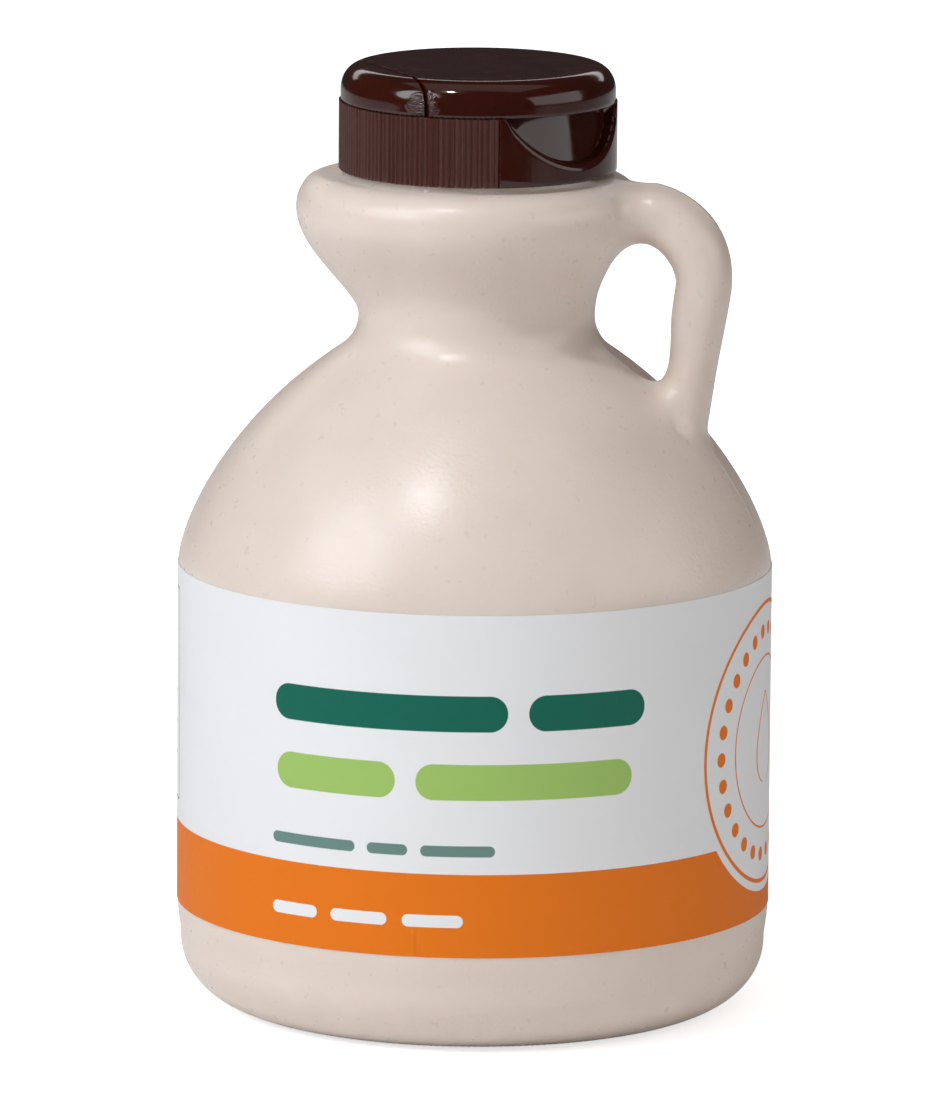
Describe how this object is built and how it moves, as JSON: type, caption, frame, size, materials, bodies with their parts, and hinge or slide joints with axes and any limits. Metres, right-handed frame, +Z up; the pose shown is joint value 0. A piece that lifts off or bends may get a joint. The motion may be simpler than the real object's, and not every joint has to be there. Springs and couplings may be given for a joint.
{
  "type": "maple syrup jug",
  "caption": "Squat round syrup jug with a small loop handle, a flared head with a pouring lip, a wrapped label and a ribbed flip-top screw cap.",
  "frame": {"origin": "centre of the base, on the jug's axis, where it stands", "axes": "+Z up along the jug's axis; +X towards the handle; -X towards the pouring lip; -Y towards the label's face"},
  "size_m": [0.0862, 0.0862, 0.1374],
  "materials": {
    "jug": "beige moulded plastic with a soft satin sheen and a faint grain",
    "label": "coated paper label, white with an orange band and plain printed bars",
    "cap": "glossy dark brown plastic"
  },
  "bodies": {
    "root": {"jug": "jug", "label": "label", "cap_base": "cap", "cap_lid": "cap"}
  },
  "joints": []
}
